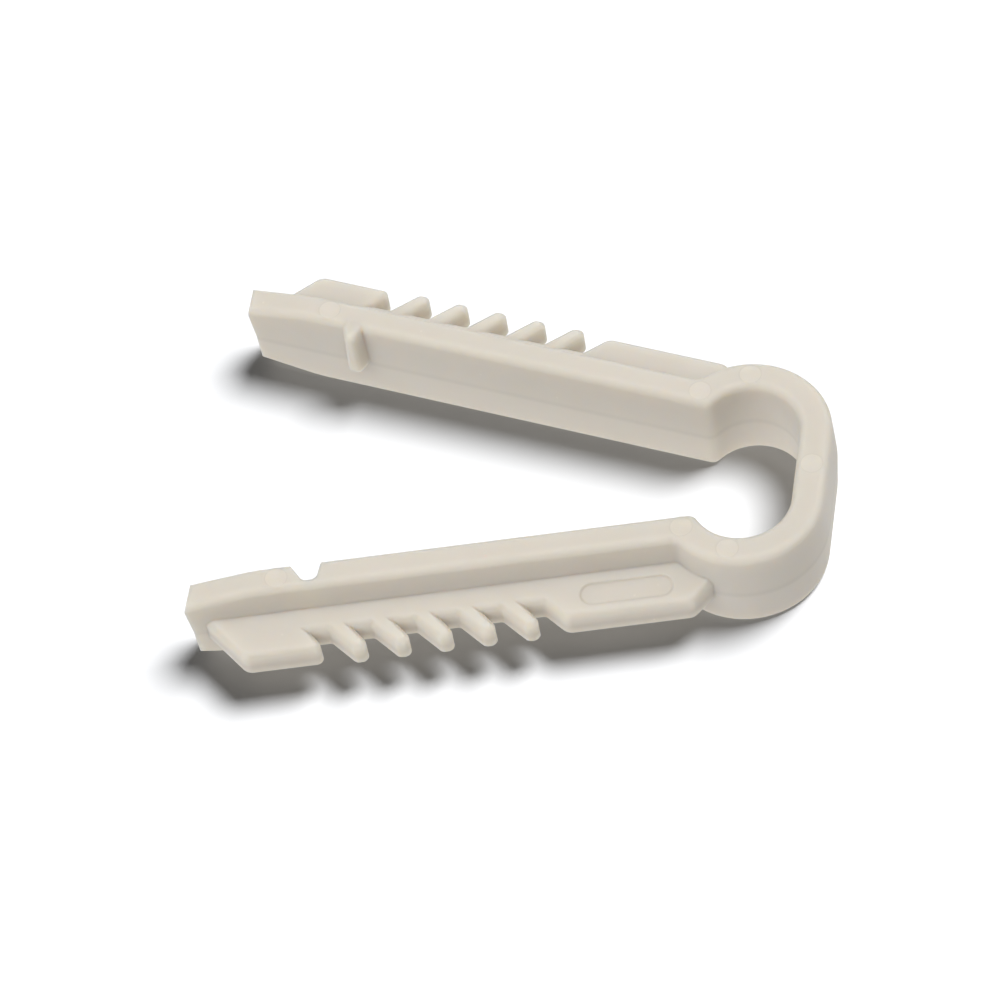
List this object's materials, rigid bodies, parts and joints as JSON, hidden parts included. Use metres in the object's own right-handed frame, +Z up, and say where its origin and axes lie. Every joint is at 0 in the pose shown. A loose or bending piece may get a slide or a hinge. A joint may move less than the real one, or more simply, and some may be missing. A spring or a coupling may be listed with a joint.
{
  "type": "claw cable clamp",
  "caption": "Claw-shaped nylon cable clamp: a looped eye for the cable and springy toothed arms that close and push into a drilled hole.",
  "frame": {"origin": "middle of the bounding box in plan, on the flat side the clamp lies on", "axes": "+X from the open arm tips towards the closed eye, +Y towards the arm with the lug, +Z up out of the flat side"},
  "size_m": [0.0312, 0.024, 0.0053],
  "materials": {
    "nylon": "natural off-white nylon, satin, slightly translucent"
  },
  "bodies": {
    "root": {"claw_clamp": "nylon"}
  },
  "joints": []
}
